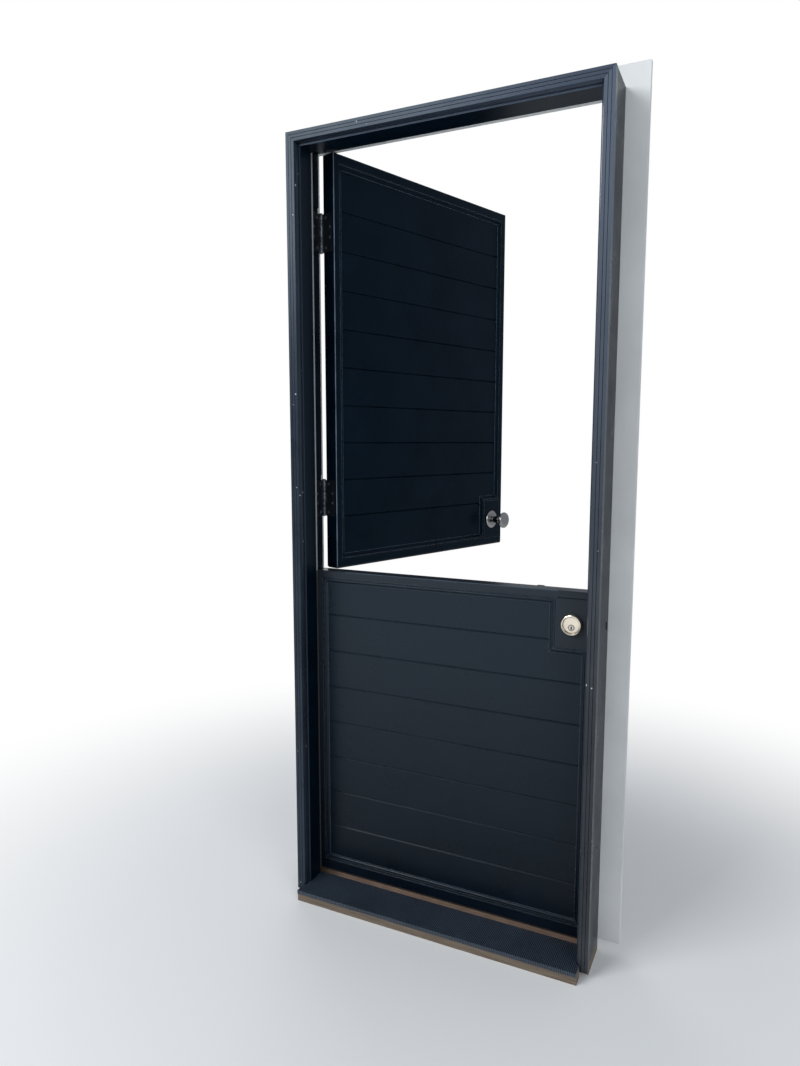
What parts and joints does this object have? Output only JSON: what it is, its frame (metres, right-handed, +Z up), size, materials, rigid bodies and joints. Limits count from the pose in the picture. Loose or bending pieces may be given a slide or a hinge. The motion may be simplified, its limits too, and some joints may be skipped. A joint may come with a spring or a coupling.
{
  "type": "stable door with frame",
  "caption": "Stable door of two boarded leaves hung in a wooden frame, with a latch knob, a deadbolt, a ribbed sill mat and a bolt that ties the leaves together.",
  "frame": {"origin": "on the underside of the sill, in the middle of the opening, in the plane of a closed leaf's outer face", "axes": "+X to the right seen from outside, +Y through the wall into the room, +Z up"},
  "size_m": [0.988, 0.9758, 2.2545],
  "materials": {
    "frame_paint": "semi-gloss black paint on wood, with small white paint specks",
    "leaf_paint": "semi-gloss black paint on wood",
    "white_paint": "satin white paint on wood",
    "sill_board": "weathered timber",
    "ribbed_rubber": "ribbed black rubber",
    "bronze_threshold": "bronze finish",
    "seal_foam": "tan foam seal",
    "black_rubber": "matt black",
    "strike_metal": "satin nickel",
    "black_hinge": "black enamel on steel",
    "polished_nickel": "polished nickel",
    "warm_nickel": "warm satin nickel over brass",
    "plug_brass": "satin brass",
    "plated_steel": "zinc plated steel"
  },
  "bodies": {
    "frame": {"jamb_left": "frame_paint", "jamb_right": "frame_paint", "jamb_head": "frame_paint", "sill": "sill_board", "sill_mat": "ribbed_rubber", "threshold": "bronze_threshold", "casing_left": "frame_paint", "casing_right": "frame_paint", "casing_head": "frame_paint", "inner_casing_left": "white_paint", "inner_casing_right": "white_paint", "inner_casing_head": "white_paint", "seal_left": "seal_foam", "seal_right": "seal_foam", "seal_head": "seal_foam", "latch_strike": "strike_metal", "deadbolt_strike": "strike_metal", "upper_hinge_jamb_leaves": "black_hinge", "lower_hinge_jamb_leaves": "black_hinge", "hinge_pins": "black_hinge"},
    "upper_leaf": {"upper_hinge_stile": "leaf_paint", "upper_lock_stile": "leaf_paint", "upper_top_rail": "leaf_paint", "upper_bottom_rail": "leaf_paint", "upper_panel": "leaf_paint", "upper_moulding": "leaf_paint", "upper_lock_block": "leaf_paint", "upper_hinge_leaves": "black_hinge", "meeting_seal": "black_rubber", "knob_rosette_outer": "polished_nickel", "knob_rosette_inner": "polished_nickel", "latch_case": "plated_steel", "dutch_bolt_plate": "black_hinge"},
    "knobs": {"outer_knob": "polished_nickel", "inner_knob": "polished_nickel"},
    "latch": {"latch_bolt": "polished_nickel"},
    "tie_bolt": {"dutch_bolt": "black_hinge"},
    "lower_leaf": {"lower_hinge_stile": "leaf_paint", "lower_lock_stile": "leaf_paint", "lower_top_rail": "leaf_paint", "lower_bottom_rail": "leaf_paint", "lower_panel": "leaf_paint", "lower_moulding": "leaf_paint", "lower_lock_block": "leaf_paint", "lower_hinge_leaves": "black_hinge", "door_sweep": "black_rubber", "deadbolt_collar": "warm_nickel", "deadbolt_rose_inner": "polished_nickel", "deadbolt_case": "plated_steel", "dutch_bolt_keeper": "black_hinge"},
    "key_plug": {"deadbolt_plug": "plug_brass"},
    "thumbturn": {"thumbturn": "polished_nickel"},
    "deadbolt": {"deadbolt_bolt": "polished_nickel"}
  },
  "joints": [
    {"name": "upper_leaf_swing", "type": "hinge", "parent": "frame", "child": "upper_leaf", "pos_m": [-0.4165, 0.0545, 0.992], "axis": [0, 0, 1], "range_deg": [-72.3, 32.7]},
    {"name": "lower_leaf_swing", "type": "hinge", "parent": "frame", "child": "lower_leaf", "pos_m": [-0.4165, 0.0545, 0.047], "axis": [0, 0, 1], "range_deg": [0, 105]},
    {"name": "knob_turn", "type": "hinge", "parent": "upper_leaf", "child": "knobs", "pos_m": [-0.15131, 0.77939, 1.082], "axis": [0.9527, -0.304, 0], "range_deg": [0, 60], "stiffness_Nm_per_rad": 0.3},
    {"name": "latch_slide", "type": "slide", "parent": "upper_leaf", "child": "latch", "axis": [0.304, 0.9527, 0], "range_m": [-0.0127, 0]},
    {"name": "tie_bolt_slide", "type": "slide", "parent": "upper_leaf", "child": "tie_bolt", "axis": [0, 0, -1], "range_m": [0, 0.025]},
    {"name": "thumbturn_turn", "type": "hinge", "parent": "lower_leaf", "child": "thumbturn", "pos_m": [0.3547, 0.0445, 0.902], "axis": [0, 1, 0], "range_deg": [0, 90]},
    {"name": "deadbolt_throw", "type": "slide", "parent": "lower_leaf", "child": "deadbolt", "axis": [1, 0, 0], "range_m": [0, 0.0254]},
    {"name": "key_turn", "type": "hinge", "parent": "lower_leaf", "child": "key_plug", "pos_m": [0.3547, 0, 0.895], "axis": [0, 1, 0], "range_deg": [0, 90]}
  ],
  "couplings": [
    {"joint": "latch_slide", "follows": "knob_turn", "m_per_rad": -0.01212},
    {"joint": "thumbturn_turn", "follows": "deadbolt_throw", "rad_per_m": 61.8}
  ]
}
